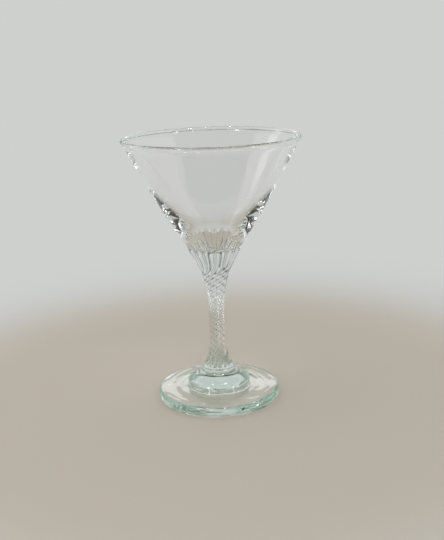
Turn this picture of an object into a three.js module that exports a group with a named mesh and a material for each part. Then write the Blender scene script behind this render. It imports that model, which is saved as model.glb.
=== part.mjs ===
// Cocktail glass with a twisted stem, in millimetres.
// +Z is up and the origin is the centre of the plane that the glass stands on.
//
// Three gathers of glass make it: a blown bowl, a fluted stem that is twisted while hot, and a pressed foot.
// They are fused to each other: the stem stands flat on the foot, and the bowl sits in a shallow cup in the
// stem's top, so each piece ends just where the next one begins.

import * as THREE from "three";

// Foot: a thick pressed disc with a domed boss in the middle
const FOOT_DIAMETER = 79;
const FOOT_HEIGHT = 20.5; // from the rest plane to the stem's weld
const FOOT_EDGE_HEIGHT = 6.5; // thickness of the disc at its edge
const FOOT_EDGE_ROUND = 1.7; // upper edge of the disc
const FOOT_HEEL_ROUND = 1.0; // lower edge of the disc
const FOOT_TOP_RISE = 0.4; // the disc thickens this much towards the boss
const REST_RING_WIDTH = 5.5; // flat ring that the glass stands on
const DISH_DEPTH = 1.6; // hollow under the middle of the foot
const BOSS_DIAMETER = 40.8;
const BOSS_FILLET = 0.7; // where the boss rises out of the disc
const BOSS_SIDE = 1.8; // upright side of the boss above its fillet
const BOSS_SHOULDER = 6.5; // how far the side goes on rising as it turns in
const BOSS_NECK_DROP = 6; // how far below the weld the dome turns up to meet the stem
const BOSS_NECK_FLARE = 1.3; // how far outside the weld it does so

// Stem: a fluted shank that flares into the foot's boss below and into a calyx under the bowl above
const STEM_LENGTH = 82.25; // from weld to weld
const STEM_ROOT_RADIUS = 10.2; // at the foot's weld
const SHANK_RADIUS = 4.95; // the thinnest stretch
const ROOT_FLARE_LENGTH = 17; // from the foot's weld up to the shank
const SHANK_LENGTH = 18;
const NECK_RADIUS = 8.8; // where the calyx starts
const CALYX_LENGTH = 18.75;
const CALYX_RADIUS = 18.8; // at the bowl's weld
const CUP_DEPTH = 5; // hollow in the calyx's top that the bowl sits in
const CALYX_STRAIGHT = 9; // the flutes run straight down this far below the bowl's weld
const FLUTE_COUNT = 16;
const FLUTE_DEPTH_SHARE = 0.22; // depth of a flute as a share of its width
const FLUTE_FADE_TOP = 1.2; // the flutes reach their depth this far below the bowl's weld
const FLUTE_FADE_ROOT = 4.5; // and run out over this height above the foot's weld
const LEAN_UPPER = 29; // lean of the flutes from the upright in the upper half, in degrees
const LEAN_LOWER = 24; // and in the lower half

// Bowl: a cone with a slight swell, a wall that thickens down to a round well, and a bead for a rim
const BOWL_HEIGHT = 68.25;
const RIM_DIAMETER = 112;
const RIM_BEAD_RADIUS = 1.3;
const WALL = 1.7; // at the rim
const BOWL_SWELL = 0.8; // how far the side stands outside a straight cone
const BASE_THICKNESS = 2.25; // glass between the bottoms of the cup and the well
const WELL_RADIUS = 17; // round bottom inside
const WELL_HEIGHT = 30; // above the weld, where the wall starts to thicken
const WALL_AT_WELL = 2.2; // there
const WELL_BLEND = 12; // the thin wall turns into the well's cone over this length on each side

// Facets
const SIDES = 4 * FLUTE_COUNT; // round the axis: a crest, a valley and both flanks of each flute
const UNDERSIDE_STEPS = 4;
const EDGE_STEPS = 3;
const DOME_STEPS = 9;
const SIDE_STEPS = 7;
const BEAD_STEPS = 5;
const WELL_STEPS = 5;
const CUP_STEPS = 3;
const STEM_RINGS = 45;
const SAME_POINT = 1e-4;

const radians = THREE.MathUtils.degToRad;
const smoothstep = THREE.MathUtils.smoothstep;

function glass(color) {
  return new THREE.MeshStandardMaterial({
    color,
    roughness: 0.02,
    metalness: 0,
    transparent: true,
    opacity: 0.35,
  });
}

// The points of an outline, radius by height. It is given as stretches, each a path and the steps of
// its curves, and the point where two stretches meet is kept once.
function outlinePoints(...stretches) {
  const kept = [];
  for (const [path, steps] of stretches) {
    for (const point of path.getPoints(steps)) {
      if (!kept.length || kept.at(-1).distanceTo(point) > SAME_POINT) kept.push(point);
    }
  }
  return kept;
}

// Turns an outline about the vertical axis.
function revolve(points) {
  return new THREE.LatheGeometry(points, SIDES).rotateX(Math.PI / 2);
}

function footGeometry() {
  const radius = FOOT_DIAMETER / 2;
  const bossRadius = BOSS_DIAMETER / 2;
  const ringInner = radius - FOOT_HEEL_ROUND - REST_RING_WIDTH;
  const bossFoot = FOOT_EDGE_HEIGHT + FOOT_TOP_RISE;
  const sideTop = bossFoot + BOSS_FILLET + BOSS_SIDE;

  const underside = new THREE.Path();
  underside.moveTo(0, DISH_DEPTH);
  underside.quadraticCurveTo(ringInner / 2, DISH_DEPTH, ringInner, 0);
  underside.lineTo(radius - FOOT_HEEL_ROUND, 0);

  const edge = new THREE.Path();
  edge.absarc(radius - FOOT_HEEL_ROUND, FOOT_HEEL_ROUND, FOOT_HEEL_ROUND, -Math.PI / 2, 0);
  edge.absarc(radius - FOOT_EDGE_ROUND, FOOT_EDGE_HEIGHT - FOOT_EDGE_ROUND, FOOT_EDGE_ROUND, 0, Math.PI / 2);
  edge.lineTo(bossRadius + BOSS_FILLET, bossFoot);
  edge.quadraticCurveTo(bossRadius, bossFoot, bossRadius, bossFoot + BOSS_FILLET);
  edge.lineTo(bossRadius, sideTop);

  const dome = new THREE.Path();
  dome.moveTo(bossRadius, sideTop);
  dome.bezierCurveTo(
    bossRadius,
    sideTop + BOSS_SHOULDER,
    STEM_ROOT_RADIUS + BOSS_NECK_FLARE,
    FOOT_HEIGHT - BOSS_NECK_DROP,
    STEM_ROOT_RADIUS,
    FOOT_HEIGHT,
  );
  dome.lineTo(0, FOOT_HEIGHT);
  return revolve(outlinePoints([underside, UNDERSIDE_STEPS], [edge, EDGE_STEPS], [dome, DOME_STEPS]));
}

// The cupped weld between stem and bowl, from its rim to its middle. Heights are from the rim.
function cupPoints() {
  const cup = new THREE.QuadraticBezierCurve(
    new THREE.Vector2(CALYX_RADIUS, 0),
    new THREE.Vector2(CALYX_RADIUS / 2, -CUP_DEPTH),
    new THREE.Vector2(0, -CUP_DEPTH),
  );
  return cup.getPoints(CUP_STEPS);
}

// The outside of the stem over the flutes' crests, from the foot's weld to the bowl's.
function stemOutline() {
  const shankTop = ROOT_FLARE_LENGTH + SHANK_LENGTH;
  const neck = STEM_LENGTH - CALYX_LENGTH;
  const path = new THREE.Path();
  path.moveTo(STEM_ROOT_RADIUS, 0);
  path.quadraticCurveTo(SHANK_RADIUS, ROOT_FLARE_LENGTH / 2, SHANK_RADIUS, ROOT_FLARE_LENGTH);
  path.lineTo(SHANK_RADIUS, shankTop);
  path.quadraticCurveTo(SHANK_RADIUS, (shankTop + neck) / 2, NECK_RADIUS, neck);
  path.lineTo(CALYX_RADIUS, STEM_LENGTH);
  return path;
}

// Radians of twist per millimetre, right-handed: the flutes start upright under the bowl and then lean over.
function twistRate(radius, height) {
  const calyx = smoothstep(STEM_LENGTH - height, CALYX_STRAIGHT, CALYX_LENGTH);
  const upper = smoothstep(height, ROOT_FLARE_LENGTH, ROOT_FLARE_LENGTH + SHANK_LENGTH);
  const lean = radians(THREE.MathUtils.lerp(LEAN_LOWER, LEAN_UPPER, upper));
  return (calyx * Math.tan(lean)) / radius;
}

// The flutes are full along the stem and run out to a plain round at both welds.
function fluteDepth(radius, height) {
  const width = (2 * Math.PI * radius) / FLUTE_COUNT;
  const fade = smoothstep(height, 0, FLUTE_FADE_ROOT) * smoothstep(STEM_LENGTH - height, 0, FLUTE_FADE_TOP);
  return FLUTE_DEPTH_SHARE * width * fade;
}

// A plain turned stem whose rings are then drawn in at the valleys and turned by the twist. The twist is
// counted down from the bowl, so the cup keeps the bowl's facets.
function stemGeometry() {
  const outline = stemOutline().getSpacedPoints(STEM_RINGS);
  const lift = new THREE.Vector2(0, STEM_LENGTH);
  const cup = cupPoints().map((point) => point.add(lift));
  const profile = [new THREE.Vector2(0, 0), ...outline, ...cup.slice(1)];
  const geometry = revolve(profile);
  const position = geometry.getAttribute("position");

  const rim = outline.length;
  const turns = new Array(rim + 1).fill(0);
  for (let ring = rim - 1; ring > 0; ring--) {
    const step = profile[ring + 1].y - profile[ring].y;
    const middle = profile[ring + 1].clone().lerp(profile[ring], 0.5);
    turns[ring] = turns[ring + 1] - twistRate(middle.x, middle.y) * step;
  }

  for (let i = 0; i < position.count; i++) {
    const ring = i % profile.length;
    if (ring >= rim) continue;
    const { x: radius, y: height } = profile[ring];
    const angle = Math.atan2(position.getY(i), position.getX(i));
    const valley = 1 - Math.abs(Math.cos((FLUTE_COUNT * angle) / 2));
    const drawn = radius - valley * fluteDepth(radius, height);
    const turned = angle + turns[ring];
    position.setXYZ(i, drawn * Math.cos(turned), drawn * Math.sin(turned), height);
  }
  return geometry;
}

function bowlGeometry() {
  const base = new THREE.Vector2(CALYX_RADIUS, 0);
  const bead = new THREE.Vector2(RIM_DIAMETER / 2 - RIM_BEAD_RADIUS, BOWL_HEIGHT - RIM_BEAD_RADIUS);
  const rise = bead.clone().sub(base).normalize();
  const outward = new THREE.Vector2(rise.y, -rise.x);

  // The wall runs into the bead on both sides of its middle.
  const wallEnd = Math.sqrt(RIM_BEAD_RADIUS ** 2 - (WALL / 2) ** 2);
  const outerEnd = bead.clone().addScaledVector(outward, WALL / 2).addScaledVector(rise, -wallEnd);
  const innerEnd = bead.clone().addScaledVector(outward, -WALL / 2).addScaledVector(rise, -wallEnd);
  const beadAngle = (point) => Math.atan2(point.y - bead.y, point.x - bead.x);

  const side = new THREE.QuadraticBezierCurve(
    base,
    base.clone().lerp(outerEnd, 0.5).addScaledVector(outward, 2 * BOWL_SWELL),
    outerEnd,
  );

  // Inside, a cone runs from the thin wall to the round bottom of the well and touches it all round.
  const wellTop = side.getPointAt(WELL_HEIGHT / outerEnd.y).addScaledVector(outward, -WALL_AT_WELL);
  const well = new THREE.Vector2(0, BASE_THICKNESS - CUP_DEPTH + WELL_RADIUS);
  const reach = wellTop.clone().sub(well);
  const touchAngle = reach.angle() - Math.acos(WELL_RADIUS / reach.length());
  const touch = new THREE.Vector2(WELL_RADIUS, 0).rotateAround(new THREE.Vector2(), touchAngle).add(well);
  const towards = (target) => target.clone().sub(wellTop).setLength(WELL_BLEND).add(wellTop);

  const cup = cupPoints().reverse();
  const rim = new THREE.Path();
  rim.absarc(bead.x, bead.y, RIM_BEAD_RADIUS, beadAngle(outerEnd), beadAngle(innerEnd) + 2 * Math.PI);

  const inside = new THREE.Path();
  const blendStart = towards(innerEnd);
  const blendEnd = towards(touch);
  inside.moveTo(innerEnd.x, innerEnd.y);
  inside.lineTo(blendStart.x, blendStart.y);
  inside.quadraticCurveTo(wellTop.x, wellTop.y, blendEnd.x, blendEnd.y);
  inside.absarc(well.x, well.y, WELL_RADIUS, touchAngle, -Math.PI / 2, true);

  const points = outlinePoints([side, SIDE_STEPS], [rim, BEAD_STEPS], [inside, WELL_STEPS]);
  return revolve([...cup.slice(0, -1), ...points]);
}

function piece(name, geometry, color) {
  const mesh = new THREE.Mesh(geometry, glass(color));
  mesh.name = name;
  return mesh;
}

// Each piece stands on the one below, weld face to weld face.
const foot = piece("foot", footGeometry(), 0xdfeae4);
const stem = piece("stem", stemGeometry(), 0xe9f0ec);
const bowl = piece("bowl", bowlGeometry(), 0xeef3f1);

const upper = new THREE.Group();
upper.position.z = STEM_LENGTH;
upper.add(bowl);

const shank = new THREE.Group();
shank.position.z = FOOT_HEIGHT;
shank.add(stem, upper);

const cocktailGlass = new THREE.Group();
cocktailGlass.add(foot, shank);

export default cocktailGlass;
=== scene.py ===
"""A stemmed cocktail glass in clear glass: a blown bowl, a twisted stem and a pressed foot."""

import math

import bmesh
import bpy
from bpy.props import FloatProperty, FloatVectorProperty, IntProperty, PointerProperty
from mathutils import Matrix, Vector
from mathutils.geometry import intersect_point_line
from mathutils.kdtree import KDTree


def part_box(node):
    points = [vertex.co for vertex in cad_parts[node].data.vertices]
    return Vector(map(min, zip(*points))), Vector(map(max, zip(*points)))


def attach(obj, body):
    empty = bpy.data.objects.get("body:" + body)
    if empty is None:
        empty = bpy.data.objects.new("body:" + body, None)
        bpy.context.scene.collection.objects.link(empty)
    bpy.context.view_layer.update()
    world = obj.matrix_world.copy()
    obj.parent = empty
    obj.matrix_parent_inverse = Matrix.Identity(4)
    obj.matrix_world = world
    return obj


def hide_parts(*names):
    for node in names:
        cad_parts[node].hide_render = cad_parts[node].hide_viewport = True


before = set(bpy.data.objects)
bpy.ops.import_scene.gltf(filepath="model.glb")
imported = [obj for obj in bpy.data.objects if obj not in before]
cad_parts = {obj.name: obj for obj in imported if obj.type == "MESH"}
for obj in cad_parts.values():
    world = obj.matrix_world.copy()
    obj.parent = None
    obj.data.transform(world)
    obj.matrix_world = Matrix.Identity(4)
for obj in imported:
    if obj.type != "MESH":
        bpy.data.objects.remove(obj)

bl_info = {
    "name": "Twisted Stem Cocktail Glass",
    "version": (1, 0, 0),
    "blender": (4, 5, 0),
    "location": "View3D > Sidebar > Glass",
    "description": "Models a stemmed cocktail glass from a bowl, a twisted stem and a pressed foot",
    "category": "Add Mesh",
}

BODY = "root"
FULL_TURN = 2 * math.pi
MERGE = 1e-7  # metres, closes the seam and the poles of a turned piece
ON_WELD = 2e-5  # metres, how near the middle of a face lies to its weld
TURN_STEPS = 256  # round the bowl and the foot
FLUTE_STEPS = 12  # round each flute of the stem
LIP_STEPS = 8  # down the inner side of the rim's bead
ROOT_DEEP = 0.65  # share of the root's length over which its flutes get deeper
SEED = 0.001  # metres, a plane that is merged into the first point of an outline
SMOOTH_ANGLE = math.radians(38)
HAZE_SCALE = 55.0  # how fine the haze is
RING_DRIFT = 0.3  # how soon the foot's rings change on the way round

AIM = Vector((0, 0, 0.09))  # the middle of the glass, which the lamps face
CEILING_GAP = 0.3  # metres from one ceiling lamp to the next
FLOOR_RADIUS = 8.0
FLOOR_STEPS = 128
FLOOR_DROP = 0.0002  # metres, keeps the floor off the underside of the foot
NEAR_FLOOR = (0.15, 0.34)  # metres from the axis, where the floor turns to the backdrop's colour
FAR_FLOOR = (0.18, 0.40)  # metres from the axis, where the floor stops taking shadows
OVERHEAD = 1.15  # brightness of the backdrop overhead
CAMERA_PLACE = (0, -0.5354, 0.2325)
CAMERA_TURN = (15.41, 0.46, -1.87)  # degrees down, to the right and tilted
CAMERA_LENS = 57.56  # millimetres
BOUNCES = 256  # light goes round many times in the flutes
CLEAR_BOUNCES = 64  # through fused faces

# The dark cards: name, place, the way the card faces, its width and height
FLAGS = (
    ("flag_front", (0, -1.8, 1.275), (0, 1, 0), (3.6, 1.35)),
    ("flag_front_low", (0, -1.8, 0.325), (0, 1, 0), (1.4, 0.55)),
    ("flag_left", (-1.8, -1.1, 1.0), (1, 0, 0), (1.4, 1.9)),
    ("flag_right", (1.8, -1.4, 1.0), (-1, 0, 0), (0.8, 1.9)),
    ("flag_low", (0, -0.125, 0.001), (0, 0, 1), (0.24, 0.13)),
    ("flag_top", (0, -0.3, 1.95), (0, 0, -1), (3.6, 3.2)),
)
NOT_MIRRORED = "flag_low"  # lies on the floor, and reflections leave it out

FOOT_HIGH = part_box("foot")[1]
STEM_LOW, STEM_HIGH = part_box("stem")
BOWL_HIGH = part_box("bowl")[1]


# Settings that a user would change


def length(name, description, default):
    return FloatProperty(
        name=name, description=description, default=default, min=0.0, unit="LENGTH", precision=5
    )


def angle(name, description, degrees):
    return FloatProperty(
        name=name, description=description, default=math.radians(degrees), subtype="ANGLE"
    )


def share(name, description, default):
    return FloatProperty(
        name=name, description=description, default=default, min=0.0, soft_max=1.0, precision=3
    )


def power(name, description, default):
    return FloatProperty(name=name, description=description, default=default, min=0.0, unit="POWER")


def colour(name, description, default):
    return FloatVectorProperty(
        name=name,
        description=description,
        default=default,
        size=3,
        min=0.0,
        max=1.0,
        subtype="COLOR",
    )


class FootSettings(bpy.types.PropertyGroup):
    """The pressed foot: a thick disc with a domed boss."""

    radius: length("Radius", "Outside of the disc", FOOT_HIGH.x)
    height: length("Height", "From the table to the stem's weld", FOOT_HIGH.z)
    edge_height: length("Edge height", "Thickness of the disc at its edge", 0.0065)
    edge_round: length("Edge round", "Radius of the disc's upper edge", 0.0017)
    heel_round: length("Heel round", "Radius of the disc's lower edge", 0.001)
    top_rise: length("Top rise", "How much the disc thickens towards the boss", 0.0004)
    ring_width: length("Rest ring", "Width of the flat ring that the glass stands on", 0.0055)
    dish_depth: length("Dish depth", "Hollow under the middle", 0.0016)
    boss_radius: length("Boss radius", "Outside of the domed boss", 0.0204)
    boss_fillet: length("Boss fillet", "Where the boss rises out of the disc", 0.0007)
    boss_side: length("Boss side", "Upright side above the fillet", 0.0018)
    boss_shoulder: length("Boss shoulder", "How far the side goes on rising as it turns in", 0.0065)
    neck_drop: length("Neck drop", "How far below the weld the dome turns up to the stem", 0.006)
    neck_flare: length("Neck flare", "How far outside the weld the dome turns up", 0.0013)


class StemSettings(bpy.types.PropertyGroup):
    """The fluted stem, twisted while hot."""

    low: length("Foot weld", "Height of the lower weld", STEM_LOW.z)
    high: length("Bowl weld", "Height of the upper weld", STEM_HIGH.z)
    root_radius: length("Root radius", "At the foot's weld", 0.0102)
    shank_radius: length("Shank radius", "The thinnest stretch", 0.00495)
    root_length: length("Root length", "From the foot's weld up to the shank", 0.017)
    shank_length: length("Shank length", "The even stretch", 0.018)
    neck_radius: length("Neck radius", "Where the calyx starts", 0.0088)
    calyx_length: length("Calyx length", "The cone under the bowl", 0.01875)
    calyx_radius: length("Calyx radius", "At the bowl's weld", 0.0188)
    cup_depth: length("Cup depth", "Hollow in the top of the calyx that the bowl sits in", 0.005)
    calyx_straight: length("Straight flutes", "How far they run straight down from the bowl", 0.009)
    flutes: IntProperty(
        name="Flutes", description="How many flutes run round the stem", default=16, min=3
    )
    flute_share: share("Flute depth", "Depth of a flute as a share of its width", 0.22)
    root_gain: share("Root gain", "How much deeper the flutes are pressed at the root", 0.6)
    fade_top: length("Upper fade", "How far below the bowl the flutes reach their depth", 0.0012)
    fade_root: length("Lower fade", "How far above the foot's weld the flutes run out", 0.0045)
    lean_upper: angle("Upper lean", "Lean of the flutes from the upright in the upper half", 29)
    lean_lower: angle("Lower lean", "Lean of the flutes from the upright in the lower half", 24)


class BowlSettings(bpy.types.PropertyGroup):
    """The blown bowl: a swelling cone whose wall thickens down to a round well."""

    low: length("Weld", "Height of the weld's upper edge", STEM_HIGH.z)
    high: length("Rim", "Height of the rim", BOWL_HIGH.z)
    rim_radius: length("Rim radius", "Outside of the rim's bead", BOWL_HIGH.x)
    bead_radius: length("Bead radius", "Roundness of the rim", 0.0013)
    lip: length("Lip", "How far the bead runs down inside", 0.003)
    wall: length("Wall", "Thickness at the rim", 0.0017)
    swell: length("Swell", "How far the side stands outside a straight cone", 0.0008)
    base_thickness: length("Base", "Glass between the bottoms of the cup and the well", 0.00225)
    well_radius: length("Well radius", "Round bottom inside", 0.017)
    well_height: length("Well height", "Above the weld, where the wall starts to thicken", 0.03)
    wall_at_well: length("Wall at well", "Thickness there", 0.0022)
    well_blend: length("Well blend", "How far to each side the wall turns into the well", 0.012)


class GlassSettings(bpy.types.PropertyGroup):
    """The clear glass that all the pieces are made of."""

    ior: FloatProperty(
        name="IOR", description="How strongly the glass bends light", default=1.52, min=1.0
    )
    tint: colour("Tint", "Colour of light that has gone through thick glass", (0.54, 0.83, 0.73))
    tint_density: FloatProperty(
        name="Tint density", description="How soon the tint shows", default=9.0, min=0.0
    )
    shadow: colour("Shadow", "Light that a surface lets through to the floor", (0.955, 0.97, 0.963))
    ripple: share("Ripple", "Strength of the fire-polished surface's waves", 0.3)
    haze: share("Haze", "Most roughness of the surface", 0.02)


class StageSettings(bpy.types.PropertyGroup):
    """The floor, the backdrop, the dark cards and the lamps."""

    floor: colour("Floor", "Floor under the glass", (0.50, 0.45, 0.39))
    backdrop: colour("Backdrop", "Far floor and backdrop", (0.62, 0.63, 0.62))
    flag: colour("Flags", "Dark cards that draw the edges of clear glass", (0.03, 0.03, 0.03))
    window: power("Window", "Large soft lamp on the left", 1.2)
    right_window: power("Right window", "Soft lamp low on the right", 1.2)
    top: power("Top softbox", "Soft lamp overhead", 7.0)
    ceiling: power("Ceiling lamps", "Each lamp of a row that only the glass's polish shows", 1.4)
    back: power("Back strip", "Level strip behind that only the polish of the glass shows", 0.8)
    side_sheen: power("Side sheen", "Upright strips that only the polish of the glass shows", 3.0)
    glint: power("Glints", "Each of the small lamps behind the camera", 0.25)
    left: power("Left strip", "Narrow lamp on the left of the camera", 0.4)
    right: power("Right strip", "Narrow lamp on the right of the camera", 0.35)


# Outlines: vectors in the XZ plane, radius by height


def point(radius, height):
    return Vector((radius, 0.0, height))


def polar(radius, turn):
    return point(radius * math.cos(turn), radius * math.sin(turn))


def line(start, end, steps):
    return [start.lerp(end, i / steps) for i in range(1, steps + 1)]


def quadratic(start, control, end, steps):
    def at(t):
        return start.lerp(control, t).lerp(control.lerp(end, t), t)

    return [at(i / steps) for i in range(1, steps + 1)]


def cubic(start, first, second, end, steps):
    def at(t):
        middle = first.lerp(second, t)
        return start.lerp(first, t).lerp(middle, t).lerp(middle.lerp(second.lerp(end, t), t), t)

    return [at(i / steps) for i in range(1, steps + 1)]


def arc(centre, radius, start, end, steps):
    return [centre + polar(radius, start + (end - start) * i / steps) for i in range(1, steps + 1)]


def smoothstep(value, low, high):
    t = min(max((value - low) / (high - low), 0.0), 1.0)
    return t * t * (3 - 2 * t)


def foot_outline(foot, stem):
    dish = point(0, foot.dish_depth)
    ring_inner = point(foot.radius - foot.heel_round - foot.ring_width, 0)
    heel = point(foot.radius - foot.heel_round, foot.heel_round)
    edge = point(foot.radius - foot.edge_round, foot.edge_height - foot.edge_round)
    boss_low = point(foot.boss_radius, foot.edge_height + foot.top_rise)
    fillet_start = boss_low + point(foot.boss_fillet, 0)
    fillet_end = boss_low + point(0, foot.boss_fillet)
    side_top = fillet_end + point(0, foot.boss_side)
    shoulder = side_top + point(0, foot.boss_shoulder)
    weld = point(stem.root_radius, foot.height)
    neck = weld + point(foot.neck_flare, -foot.neck_drop)

    outline = [dish]
    outline += quadratic(dish, point(ring_inner.x / 2, foot.dish_depth), ring_inner, steps=16)
    outline += line(ring_inner, point(heel.x, 0), steps=2)
    outline += arc(heel, foot.heel_round, -math.pi / 2, 0, steps=6)
    outline += line(outline[-1], edge + point(foot.edge_round, 0), steps=3)
    outline += arc(edge, foot.edge_round, 0, math.pi / 2, steps=9)
    outline += line(outline[-1], fillet_start, steps=6)
    outline += quadratic(fillet_start, boss_low, fillet_end, steps=6)
    outline += line(fillet_end, side_top, steps=2)
    outline += cubic(side_top, shoulder, neck, weld, steps=32)
    outline += foot_weld(stem)[1:]
    return outline


def foot_weld(stem):
    """The flat weld between foot and stem, from the outside in."""
    return [point(radius, stem.low) for radius in (stem.root_radius, stem.root_radius / 2, 0)]


def bowl_weld(stem):
    """The cupped weld between stem and bowl, from the outside in."""
    rim = point(stem.calyx_radius, stem.high)
    bottom = point(0, stem.high - stem.cup_depth)
    return [rim] + quadratic(rim, bottom + point(rim.x / 2, 0), bottom, steps=6)


def stem_outline(stem):
    """The stem over the crests of its flutes."""
    root = point(stem.root_radius, stem.low)
    shank_low = point(stem.shank_radius, stem.low + stem.root_length)
    shank_high = shank_low + point(0, stem.shank_length)
    neck = point(stem.neck_radius, stem.high - stem.calyx_length)
    root_bend = point(stem.shank_radius, (root.z + shank_low.z) / 2)
    neck_bend = point(stem.shank_radius, (shank_high.z + neck.z) / 2)
    top = point(stem.calyx_radius, stem.high)
    fade = top.lerp(neck, stem.fade_top / stem.calyx_length)

    outline = foot_weld(stem)[::-1]
    outline += quadratic(root, root_bend, shank_low, steps=36)
    outline += line(shank_low, shank_high, steps=30)
    outline += quadratic(shank_high, neck_bend, neck, steps=48)
    outline += line(neck, fade, steps=30)
    outline += line(fade, top, steps=6)
    outline += bowl_weld(stem)[1:]
    return outline


def bowl_outline(bowl, stem):
    base = point(stem.calyx_radius, bowl.low)
    bead = point(bowl.rim_radius - bowl.bead_radius, bowl.high - bowl.bead_radius)
    rise = (bead - base).normalized()
    outward = point(rise.z, -rise.x)

    # The wall runs into the bead on both sides of its middle, and further down on the inside.
    leave = math.acos(bowl.wall / 2 / bowl.bead_radius)
    outer_end = bead + outward * (bowl.wall / 2) - rise * (bowl.bead_radius * math.sin(leave))
    lip = [
        bead - outward * (bowl.bead_radius * math.cos(turn)) - rise * (bowl.lip * math.sin(turn))
        for turn in (leave * step / LIP_STEPS for step in range(1, LIP_STEPS + 1))
    ]
    inner_end = lip[-1]
    bead_start = math.atan2(outer_end.z - bead.z, outer_end.x - bead.x)
    bead_end = math.atan2(-outward.z, -outward.x)
    swell = base.lerp(outer_end, 0.5) + outward * (2 * bowl.swell)

    # Inside, a cone runs from the thin wall to the round bottom of the well and touches it.
    up = bowl.well_height / (outer_end.z - bowl.low)
    side_at_well = base.lerp(swell, up).lerp(swell.lerp(outer_end, up), up)
    well_top = side_at_well - outward * bowl.wall_at_well
    well = point(0, bowl.low - stem.cup_depth + bowl.base_thickness + bowl.well_radius)
    reach = well_top - well
    touch_angle = math.atan2(reach.z, reach.x) - math.acos(bowl.well_radius / reach.length)
    touch = well + polar(bowl.well_radius, touch_angle)
    blend_start = well_top + (inner_end - well_top).normalized() * bowl.well_blend
    blend_end = well_top + (touch - well_top).normalized() * bowl.well_blend

    outline = bowl_weld(stem)[::-1]
    outline += quadratic(base, swell, outer_end, steps=28)
    outline += arc(bead, bowl.bead_radius, bead_start, bead_end, steps=24)
    outline += lip
    outline += line(inner_end, blend_start, steps=8)
    outline += quadratic(blend_start, well_top, blend_end, steps=16)
    outline += line(blend_end, touch, steps=6)
    outline += arc(well, bowl.well_radius, touch_angle, -math.pi / 2, steps=24)
    return outline


# Modelling


def turn_outline(name, outline, steps):
    """Extrudes one vertex from point to point along an outline, and spins it about the axis."""
    bpy.ops.object.select_all(action="DESELECT")
    bpy.ops.mesh.primitive_plane_add(size=SEED)
    piece = bpy.context.object
    piece.name = name
    piece.data.name = name
    bpy.ops.object.mode_set(mode="EDIT")
    bpy.ops.mesh.merge(type="CENTER")
    bpy.ops.transform.translate(value=outline[0])
    for before, after in zip(outline, outline[1:]):
        bpy.ops.mesh.extrude_vertices_move(TRANSFORM_OT_translate={"value": after - before})
    bpy.ops.mesh.select_all(action="SELECT")
    bpy.ops.mesh.spin(steps=steps, angle=FULL_TURN, center=(0, 0, 0), axis=(0, 0, 1))
    bpy.ops.mesh.select_all(action="SELECT")
    bpy.ops.mesh.remove_doubles(threshold=MERGE)
    bpy.ops.mesh.normals_make_consistent(inside=False)
    bpy.ops.object.mode_set(mode="OBJECT")
    return piece


def pick(piece, indices):
    """Selects these vertices alone, in edit mode."""
    bpy.ops.mesh.select_all(action="DESELECT")
    mesh = bmesh.from_edit_mesh(piece.data)
    mesh.verts.ensure_lookup_table()
    for index in indices:
        mesh.verts[index].select_set(True)


def flute_and_twist(piece, stem, outline):
    """Draws the valleys of the flutes in towards the axis, then twists the stem ring by ring."""
    columns = stem.flutes * FLUTE_STEPS
    tree = KDTree(len(outline))
    for index, spot in enumerate(outline):
        tree.insert(spot, index)
    tree.balance()
    rings = [[] for _ in outline]
    steps = {}
    for vertex in piece.data.vertices:
        rings[tree.find(point(vertex.co.xy.length, vertex.co.z))[1]].append(vertex.index)
        column = round(math.atan2(vertex.co.y, vertex.co.x) / FULL_TURN * columns) % FLUTE_STEPS
        steps[vertex.index] = min(column, FLUTE_STEPS - column)
    first = len(foot_weld(stem)) - 1
    last = len(outline) - len(bowl_weld(stem))
    shank_low = stem.low + stem.root_length

    # Rings of the same depth are drawn in together.
    drawn = {}
    for ring in range(first, last + 1):
        height = outline[ring].z
        depth = smoothstep(height, stem.low, stem.low + stem.fade_root)
        depth *= smoothstep(stem.high - height, 0, stem.fade_top)
        root = smoothstep(shank_low - height, 0, stem.root_length * ROOT_DEEP)
        depth *= 1 + stem.root_gain * root
        drawn.setdefault(round(depth, 4), []).extend(rings[ring])
    bpy.ops.object.mode_set(mode="EDIT")
    width = FULL_TURN / stem.flutes
    for depth, indices in drawn.items():
        for step in range(1, FLUTE_STEPS // 2 + 1):
            valley = 1 - math.cos(math.pi * step / FLUTE_STEPS)
            size = 1 - valley * stem.flute_share * width * depth
            pick(piece, [index for index in indices if steps[index] == step])
            bpy.ops.transform.resize(value=(size, size, 1), center_override=(0, 0, 0))

    # The twist is counted down from the bowl.
    turn = 0.0
    for ring in range(last - 1, -1, -1):
        below, above = outline[max(ring, first)], outline[max(ring, first) + 1]
        middle = below.lerp(above, 0.5)
        calyx = smoothstep(stem.high - middle.z, stem.calyx_straight, stem.calyx_length)
        upper = smoothstep(middle.z, shank_low, shank_low + stem.shank_length)
        lean = stem.lean_lower + (stem.lean_upper - stem.lean_lower) * upper
        if ring >= first:
            turn += calyx * math.tan(lean) / middle.x * (above.z - below.z)
        pick(piece, rings[ring])
        bpy.ops.transform.rotate(value=turn, orient_axis="Z", center_override=(0, 0, 0))
    bpy.ops.object.mode_set(mode="OBJECT")


def mark_welds(piece, welds):
    """Marks the faces on the welds, which are fused and have no surface of their own."""
    mask = piece.data.attributes.new("weld", "FLOAT", "FACE")
    for face in piece.data.polygons:
        middle = point(face.center.xy.length, face.center.z)
        for weld in welds:
            for start, end in zip(weld, weld[1:]):
                near, along = intersect_point_line(middle, start, end)
                if 0 <= along <= 1 and (near - middle).length < ON_WELD:
                    mask.data[face.index].value = 1.0


def finish_piece(piece, node, material, welds):
    mark_welds(piece, welds)
    bpy.ops.object.select_all(action="DESELECT")
    piece.select_set(True)
    bpy.context.view_layer.objects.active = piece
    bpy.ops.object.shade_smooth_by_angle(angle=SMOOTH_ANGLE)
    piece.data.materials.clear()
    piece.data.materials.append(material)
    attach(piece, BODY)
    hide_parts(node)


# Materials


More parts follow.
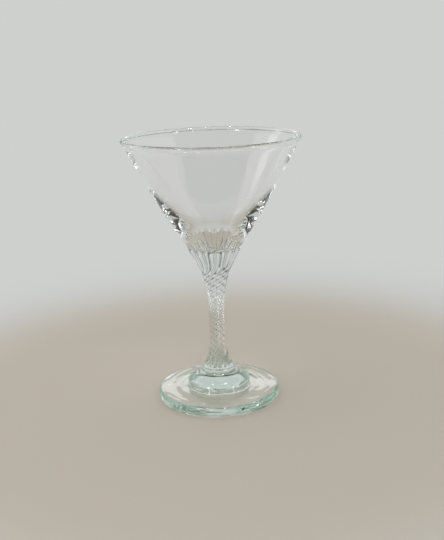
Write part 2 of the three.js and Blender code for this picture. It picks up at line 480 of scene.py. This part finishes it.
def add_node(tree, kind, **inputs):
    """A new node with values set on its sockets, by name with underscores for spaces."""
    made = tree.nodes.new("ShaderNode" + kind)
    for name, value in inputs.items():
        made.inputs[name.replace("_", " ")].default_value = value
    return made


def maths(tree, operation, first, second):
    made = tree.nodes.new("ShaderNodeMath")
    made.operation = operation
    for socket, value in zip(made.inputs, (first, second)):
        if isinstance(value, (int, float)):
            socket.default_value = value
        else:
            tree.links.new(value, socket)
    return made


def ranged(tree, source, low, high):
    """A smooth rise from 0 to 1 between two values of the source."""
    made = add_node(tree, "MapRange", From_Min=low, From_Max=high)
    made.interpolation_type = "SMOOTHSTEP"
    tree.links.new(source, made.inputs["Value"])
    return made.outputs[0]


def mixed(tree, factor, first, second):
    made = tree.nodes.new("ShaderNodeMix")
    made.data_type = "RGBA"
    made.inputs[6].default_value = (*first, 1)
    made.inputs[7].default_value = (*second, 1)
    tree.links.new(factor, made.inputs[0])
    return made.outputs[2]


def ripple_group():
    """The slight waves and the faint haze that a fire-polished surface keeps."""
    name = "fire-polished ripple"
    if name in bpy.data.node_groups:
        return bpy.data.node_groups[name]
    tree = bpy.data.node_groups.new(name, "ShaderNodeTree")
    tree.interface.new_socket("Vector", in_out="INPUT", socket_type="NodeSocketVector")
    for label in ("Wave Scale", "Haze Scale"):
        tree.interface.new_socket(label, in_out="INPUT", socket_type="NodeSocketFloat")
    for label in ("Height", "Haze"):
        tree.interface.new_socket(label, in_out="OUTPUT", socket_type="NodeSocketFloat")
    given = tree.nodes.new("NodeGroupInput")
    result = tree.nodes.new("NodeGroupOutput")
    waves = add_node(tree, "TexNoise", Detail=1.0, Roughness=0.35, Distortion=0.4)
    film = add_node(tree, "TexNoise", Detail=3.0, Roughness=0.6)
    for made, label in ((waves, "Wave Scale"), (film, "Haze Scale")):
        tree.links.new(given.outputs["Vector"], made.inputs["Vector"])
        tree.links.new(given.outputs[label], made.inputs["Scale"])
    tree.links.new(waves.outputs["Fac"], result.inputs["Height"])
    patches = ranged(tree, film.outputs["Fac"], low=0.45, high=0.75)
    tree.links.new(patches, result.inputs["Haze"])
    return tree


def ring_vector(tree, source):
    """Coordinates that run out along the radius and change slowly round the axis."""
    level = add_node(tree, "Mapping", Scale=(1, 1, 0))
    tree.links.new(source, level.inputs["Vector"])
    radius = tree.nodes.new("ShaderNodeVectorMath")
    radius.operation = "LENGTH"
    tree.links.new(level.outputs[0], radius.inputs[0])
    parts = tree.nodes.new("ShaderNodeSeparateXYZ")
    tree.links.new(source, parts.inputs[0])
    joined = tree.nodes.new("ShaderNodeCombineXYZ")
    outwards = maths(tree, "SUBTRACT", radius.outputs["Value"], parts.outputs["Z"])
    tree.links.new(outwards.outputs[0], joined.inputs["X"])
    for level_axis, ring_axis in (("X", "Y"), ("Y", "Z")):
        drift = maths(tree, "MULTIPLY", parts.outputs[level_axis], RING_DRIFT)
        tree.links.new(drift.outputs[0], joined.inputs[ring_axis])
    return joined.outputs[0]


def glass_material(name, wave_scale, wave_height, wave_stretch=1.0, rings=False, tint_share=1.0):
    """Clear tinted glass whose weld faces are not seen."""
    look = bpy.context.scene.glass_finish
    material = bpy.data.materials.new(name)
    material.use_nodes = True
    tree = material.node_tree
    links = tree.links
    tree.nodes.clear()
    glass = add_node(
        tree, "BsdfPrincipled", IOR=look.ior, Transmission_Weight=1.0, Base_Color=(1, 1, 1, 1)
    )
    where = tree.nodes.new("ShaderNodeTexCoord")

    if rings:
        flow = ring_vector(tree, where.outputs["Object"])
    else:
        stretch = add_node(tree, "Mapping", Scale=(1, 1, wave_stretch))
        links.new(where.outputs["Object"], stretch.inputs["Vector"])
        flow = stretch.outputs[0]
    ripple = tree.nodes.new("ShaderNodeGroup")
    ripple.node_tree = ripple_group()
    ripple.inputs["Wave Scale"].default_value = wave_scale
    ripple.inputs["Haze Scale"].default_value = HAZE_SCALE
    links.new(flow, ripple.inputs["Vector"])
    bump = add_node(tree, "Bump", Strength=look.ripple, Distance=wave_height)
    links.new(ripple.outputs["Height"], bump.inputs["Height"])
    links.new(bump.outputs[0], glass.inputs["Normal"])
    haze = maths(tree, "MULTIPLY", ripple.outputs["Haze"], look.haze)
    links.new(haze.outputs[0], glass.inputs["Roughness"])

    # Light reaches the floor through the glass.
    lit = add_node(tree, "BsdfTransparent", Color=(*look.shadow, 1))
    for_lamps = tree.nodes.new("ShaderNodeMixShader")
    links.new(tree.nodes.new("ShaderNodeLightPath").outputs["Is Shadow Ray"], for_lamps.inputs[0])
    links.new(glass.outputs[0], for_lamps.inputs[1])
    links.new(lit.outputs[0], for_lamps.inputs[2])

    # Fused faces have no surface of their own.
    fused = tree.nodes.new("ShaderNodeAttribute")
    fused.attribute_name = "weld"
    through = tree.nodes.new("ShaderNodeBsdfTransparent")
    surface = tree.nodes.new("ShaderNodeMixShader")
    links.new(fused.outputs["Fac"], surface.inputs[0])
    links.new(for_lamps.outputs[0], surface.inputs[1])
    links.new(through.outputs[0], surface.inputs[2])

    density = look.tint_density * tint_share
    body = add_node(tree, "VolumeAbsorption", Color=(*look.tint, 1), Density=density)
    output = tree.nodes.new("ShaderNodeOutputMaterial")
    links.new(surface.outputs[0], output.inputs["Surface"])
    links.new(body.outputs[0], output.inputs["Volume"])
    return material


# Stage


def softbox(name, place, size, watts, seen=True, lights=True):
    """A rectangular lamp that faces the glass and is not itself in view."""
    lamp = bpy.data.lights.new(name, "AREA")
    lamp.shape = "RECTANGLE"
    lamp.size, lamp.size_y = size
    lamp.energy = watts
    holder = bpy.data.objects.new(name, lamp)
    bpy.context.scene.collection.objects.link(holder)
    holder.location = place
    holder.rotation_euler = (AIM - Vector(place)).to_track_quat("-Z", "Y").to_euler()
    holder.visible_camera = False
    holder.visible_diffuse = lights
    holder.visible_glossy = seen
    holder.visible_transmission = seen and lights


def flag(name, place, facing, size, material, mirrored):
    """A dark card that only the glass shows."""
    bpy.ops.object.select_all(action="DESELECT")
    bpy.ops.mesh.primitive_plane_add(size=1.0)
    card = bpy.context.object
    card.name = name
    card.scale = (*size, 1)
    card.location = place
    card.rotation_euler = Vector(facing).to_track_quat("Z", "Y").to_euler()
    card.data.materials.append(material)
    card.visible_camera = False
    card.visible_diffuse = False
    card.visible_glossy = mirrored
    card.visible_shadow = False


def floor_material(stage):
    """A pale floor that takes the glass's shadow and runs out into the backdrop."""
    material = bpy.data.materials.new("pale floor")
    material.use_nodes = True
    tree = material.node_tree
    surface = tree.nodes["Principled BSDF"]
    surface.inputs["Roughness"].default_value = 0.9
    surface.inputs["Specular IOR Level"].default_value = 0.0
    where = tree.nodes.new("ShaderNodeTexCoord")
    away = tree.nodes.new("ShaderNodeVectorMath")
    away.operation = "LENGTH"
    tree.links.new(where.outputs["Object"], away.inputs[0])
    near = ranged(tree, away.outputs["Value"], *NEAR_FLOOR)
    tree.links.new(mixed(tree, near, stage.floor, stage.backdrop), surface.inputs["Base Color"])
    glow = add_node(tree, "Emission", Color=(*stage.backdrop, 1))
    far = tree.nodes.new("ShaderNodeMixShader")
    tree.links.new(ranged(tree, away.outputs["Value"], *FAR_FLOOR), far.inputs[0])
    tree.links.new(surface.outputs[0], far.inputs[1])
    tree.links.new(glow.outputs[0], far.inputs[2])
    tree.links.new(far.outputs[0], tree.nodes["Material Output"].inputs["Surface"])
    return material


def flag_material(stage):
    material = bpy.data.materials.new("dark card")
    material.use_nodes = True
    tree = material.node_tree
    tree.nodes.clear()
    dark = add_node(tree, "Emission", Color=(*stage.flag, 1))
    output = tree.nodes.new("ShaderNodeOutputMaterial")
    tree.links.new(dark.outputs[0], output.inputs["Surface"])
    return material


def backdrop_world(stage):
    """A pale backdrop that brightens a little overhead."""
    world = bpy.data.worlds.new("backdrop")
    world.use_nodes = True
    tree = world.node_tree
    where = tree.nodes.new("ShaderNodeTexCoord")
    split = tree.nodes.new("ShaderNodeSeparateXYZ")
    tree.links.new(where.outputs["Generated"], split.inputs[0])
    overhead = [min(channel * OVERHEAD, 1.0) for channel in stage.backdrop]
    rising = ranged(tree, split.outputs["Z"], low=0.3, high=1.0)
    shade = mixed(tree, rising, stage.backdrop, overhead)
    tree.links.new(shade, tree.nodes["Background"].inputs["Color"])
    return world


def place_camera():
    """The camera looks slightly down at the glass from the front."""
    pitch, yaw, roll = (math.radians(degrees) for degrees in CAMERA_TURN)
    level = math.cos(pitch)
    forward = Vector((math.sin(yaw) * level, math.cos(yaw) * level, -math.sin(pitch)))
    right = Vector((math.cos(yaw), -math.sin(yaw), 0))
    up = right.cross(forward)
    tilted_right = right * math.cos(roll) + up * math.sin(roll)
    tilted_up = up * math.cos(roll) - right * math.sin(roll)
    lens = bpy.data.cameras.new("camera")
    lens.lens = CAMERA_LENS
    camera = bpy.data.objects.new("camera", lens)
    bpy.context.scene.collection.objects.link(camera)
    turn = Matrix((tilted_right, tilted_up, -forward)).transposed()
    camera.matrix_world = Matrix.Translation(CAMERA_PLACE) @ turn.to_4x4()
    bpy.context.scene.camera = camera


# Operators


class GLASS_OT_make_foot(bpy.types.Operator):
    """Turn the pressed foot with its rounded edge and domed boss"""

    bl_idname = "glass.make_foot"
    bl_label = "Make Foot"

    def execute(self, context):
        foot, stem = context.scene.glass_foot, context.scene.glass_stem
        piece = turn_outline("pressed_foot", foot_outline(foot, stem), TURN_STEPS)
        material = glass_material("pressed glass", wave_scale=140.0, wave_height=0.002, rings=True)
        finish_piece(piece, "foot", material, [foot_weld(stem)])
        return {"FINISHED"}


class GLASS_OT_make_stem(bpy.types.Operator):
    """Turn the stem, draw in its flutes and twist them"""

    bl_idname = "glass.make_stem"
    bl_label = "Make Stem"

    def execute(self, context):
        stem = context.scene.glass_stem
        outline = stem_outline(stem)
        piece = turn_outline("twisted_stem", outline, stem.flutes * FLUTE_STEPS)
        flute_and_twist(piece, stem, outline)
        material = glass_material(
            "drawn glass", wave_scale=70.0, wave_height=0.0001, wave_stretch=0.5, tint_share=0.6
        )
        finish_piece(piece, "stem", material, [foot_weld(stem), bowl_weld(stem)])
        return {"FINISHED"}


class GLASS_OT_make_bowl(bpy.types.Operator):
    """Turn the blown bowl with its round well and beaded rim"""

    bl_idname = "glass.make_bowl"
    bl_label = "Make Bowl"

    def execute(self, context):
        bowl, stem = context.scene.glass_bowl, context.scene.glass_stem
        piece = turn_outline("blown_bowl", bowl_outline(bowl, stem), TURN_STEPS)
        material = glass_material(
            "blown glass", wave_scale=45.0, wave_height=0.0001, wave_stretch=0.6, tint_share=0.2
        )
        finish_piece(piece, "bowl", material, [bowl_weld(stem)])
        return {"FINISHED"}


class GLASS_OT_make_stage(bpy.types.Operator):
    """Set the floor, the backdrop, the dark cards, the lamps and the camera"""

    bl_idname = "glass.make_stage"
    bl_label = "Make Stage"

    def execute(self, context):
        scene = context.scene
        stage = scene.glass_stage
        bpy.ops.object.select_all(action="DESELECT")
        bpy.ops.mesh.primitive_circle_add(
            vertices=FLOOR_STEPS,
            radius=FLOOR_RADIUS,
            fill_type="NGON",
            location=(0, 0, -FLOOR_DROP),
        )
        floor = context.object
        floor.name = "floor"
        floor.data.materials.append(floor_material(stage))

        dark = flag_material(stage)
        for name, place, facing, size in FLAGS:
            flag(name, place, facing, size, dark, mirrored=name != NOT_MIRRORED)

        scene.world = backdrop_world(stage)
        softbox("window", place=(-1.4, 0.5, 0.6), size=(0.4, 0.9), watts=stage.window)
        softbox(
            "right_window", place=(1.7, -0.6, 0.25), size=(0.35, 0.5), watts=stage.right_window
        )
        softbox(
            "top_softbox", place=(-0.3, -0.2, 1.5), size=(0.9, 0.9), watts=stage.top, seen=False
        )
        for step in (-1.5, -0.5, 0.5, 1.5):
            place = (CEILING_GAP * step, -0.36, 1.6)
            softbox("ceiling_lamp", place, size=(0.12, 0.12), watts=stage.ceiling, lights=False)
        softbox(
            "back_strip", place=(0, 1.5, 0.62), size=(1.4, 0.12), watts=stage.back, lights=False
        )
        for name, place in (("left_sheen", (-0.9, -1.1, 0.3)), ("right_sheen", (1.1, -0.9, 0.3))):
            softbox(name, place, size=(0.15, 0.6), watts=stage.side_sheen, lights=False)
        for side in (-1, 1):
            for away, height in ((0.45, 0.25), (0.7, 0.55), (0.95, 0.15)):
                place = (side * away, -1.45, height)
                softbox("glint", place, size=(0.08, 0.08), watts=stage.glint)
        softbox("left_strip", place=(-1.1, -0.95, 0.3), size=(0.12, 0.4), watts=stage.left)
        softbox("right_strip", place=(1.2, -0.8, 0.3), size=(0.10, 0.4), watts=stage.right)

        place_camera()
        scene.view_settings.view_transform = "Standard"
        scene.cycles.max_bounces = BOUNCES
        scene.cycles.transmission_bounces = BOUNCES
        scene.cycles.glossy_bounces = BOUNCES
        scene.cycles.transparent_max_bounces = CLEAR_BOUNCES
        scene.cycles.caustics_reflective = False
        scene.cycles.caustics_refractive = True
        return {"FINISHED"}


class GLASS_PT_panel(bpy.types.Panel):
    """The glass's pieces and the sizes and colours that they are made with"""

    bl_idname = "GLASS_PT_panel"
    bl_label = "Cocktail Glass"
    bl_space_type = "VIEW_3D"
    bl_region_type = "UI"
    bl_category = "Glass"

    def draw(self, context):
        for operator, settings in ROWS:
            box = self.layout.box()
            if operator:
                box.operator(operator)
            group = getattr(context.scene, settings)
            for name in group.__annotations__:
                box.prop(group, name)


SETTINGS = {
    "glass_foot": FootSettings,
    "glass_stem": StemSettings,
    "glass_bowl": BowlSettings,
    "glass_finish": GlassSettings,
    "glass_stage": StageSettings,
}
ROWS = (
    ("glass.make_foot", "glass_foot"),
    ("glass.make_stem", "glass_stem"),
    ("glass.make_bowl", "glass_bowl"),
    ("", "glass_finish"),
    ("glass.make_stage", "glass_stage"),
)
CLASSES = (
    *SETTINGS.values(),
    GLASS_OT_make_foot,
    GLASS_OT_make_stem,
    GLASS_OT_make_bowl,
    GLASS_OT_make_stage,
    GLASS_PT_panel,
)


def register():
    for cls in CLASSES:
        bpy.utils.register_class(cls)
    for name, cls in SETTINGS.items():
        setattr(bpy.types.Scene, name, PointerProperty(type=cls))


def unregister():
    for name in SETTINGS:
        delattr(bpy.types.Scene, name)
    for cls in reversed(CLASSES):
        bpy.utils.unregister_class(cls)


def main():
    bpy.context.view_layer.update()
    register()
    bpy.ops.glass.make_foot()
    bpy.ops.glass.make_stem()
    bpy.ops.glass.make_bowl()
    bpy.ops.glass.make_stage()


if __name__ == "__main__":
    main()
